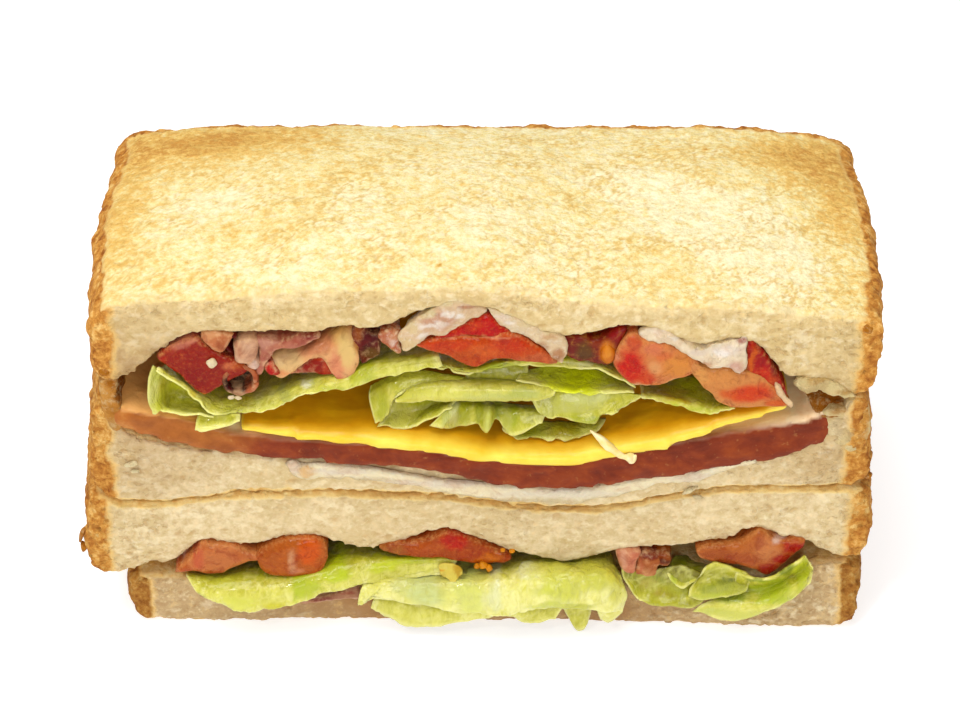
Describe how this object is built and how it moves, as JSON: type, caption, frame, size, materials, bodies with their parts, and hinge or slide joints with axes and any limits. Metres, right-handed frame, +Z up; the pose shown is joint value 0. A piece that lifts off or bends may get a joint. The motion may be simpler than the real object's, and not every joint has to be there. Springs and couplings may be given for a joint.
{
  "type": "blt sandwich",
  "caption": "Toasted BLT sandwich cut across, its halves stacked with the cut faces forward, showing bacon, lettuce, tomato, ham and cheese.",
  "frame": {"origin": "centre of the bounding box at the flat underside of the bottom slice", "axes": "+X along the long cut edge, to the right of someone facing the cut faces; +Y from the cut faces to the back crust; +Z up through the stack"},
  "size_m": [0.123, 0.0624, 0.0654],
  "materials": {
    "bread": "dry open crumb, toasted pale gold outside, brown crust",
    "ham": "moist grilled meat",
    "cheese": "smooth, softened",
    "lettuce": "wet crisp leaf",
    "tomato": "wet flesh and skin",
    "bacon": "greasy, pink with pale fat"
  },
  "bodies": {
    "root": {"bread_upper_top": "bread", "bread_upper_bottom": "bread", "bread_lower_top": "bread", "bread_lower_bottom": "bread", "ham_slab": "ham", "ham_lower_strip": "ham", "cheese_slice": "cheese", "lettuce_upper_left": "lettuce", "lettuce_upper_fold": "lettuce", "lettuce_upper_frill": "lettuce", "lettuce_upper_right": "lettuce", "lettuce_lower_left": "lettuce", "lettuce_lower_rib": "lettuce", "lettuce_lower_right": "lettuce", "tomato_upper_1": "tomato", "tomato_upper_2": "tomato", "tomato_upper_core": "tomato", "tomato_upper_3": "tomato", "tomato_upper_4": "tomato", "tomato_lower_1": "tomato", "tomato_lower_2": "tomato", "tomato_lower_3": "tomato", "tomato_lower_4": "tomato", "bacon_upper_hook": "bacon", "bacon_upper_wave": "bacon", "bacon_upper_end": "bacon", "bacon_lower_roll": "bacon"}
  },
  "joints": []
}
